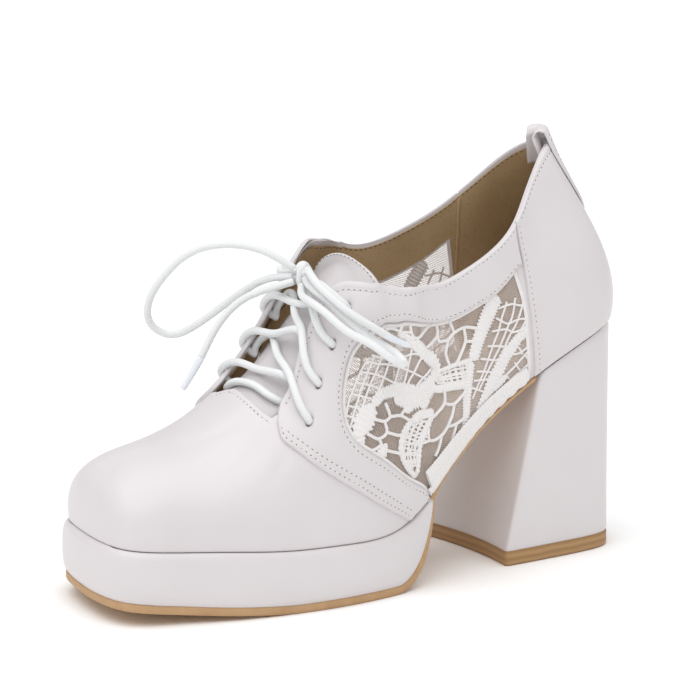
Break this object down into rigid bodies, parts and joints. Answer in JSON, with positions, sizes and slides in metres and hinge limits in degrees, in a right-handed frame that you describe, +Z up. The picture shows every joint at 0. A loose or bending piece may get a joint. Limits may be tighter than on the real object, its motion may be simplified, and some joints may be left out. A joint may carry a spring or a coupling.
{
  "type": "lace-up platform shoe",
  "caption": "White lace-up platform shoe for the left foot: hollow leather upper with openwork lace side panels, flared block heel and a cord bow.",
  "frame": {"origin": "middle of the shoe's footprint box, on the floor", "axes": "+X outer side, +Y from toe to heel, +Z up"},
  "size_m": [0.0995, 0.2374, 0.1694],
  "materials": {
    "leather_white": "smooth semi-gloss white",
    "tape_white": "smooth folded strip",
    "lace_fabric": "openwork lace",
    "lining_tan": "matte tan lining",
    "sole_tan": "matte tan",
    "lift_brown": "matte brown",
    "cord_white": "fine round cord"
  },
  "bodies": {
    "root": {"upper": "leather_white", "quarter_lateral": "leather_white", "quarter_medial": "leather_white", "counter": "leather_white", "tongue": "leather_white", "platform": "leather_white", "heel_block": "leather_white", "pull_loop": "tape_white", "lace_panel_lateral": "lace_fabric", "lace_panel_medial": "lace_fabric", "insole": "lining_tan", "outsole": "sole_tan", "top_lift": "lift_brown", "lace_bar": "cord_white", "lace_cross_low": "cord_white", "lace_cross_middle": "cord_white", "lace_cross_high": "cord_white", "lace_top_lateral": "cord_white", "lace_top_medial": "cord_white", "lace_knot": "cord_white", "lace_loop_left": "cord_white", "lace_end_left": "cord_white", "lace_loop_right": "cord_white", "lace_end_right": "cord_white"}
  },
  "joints": []
}
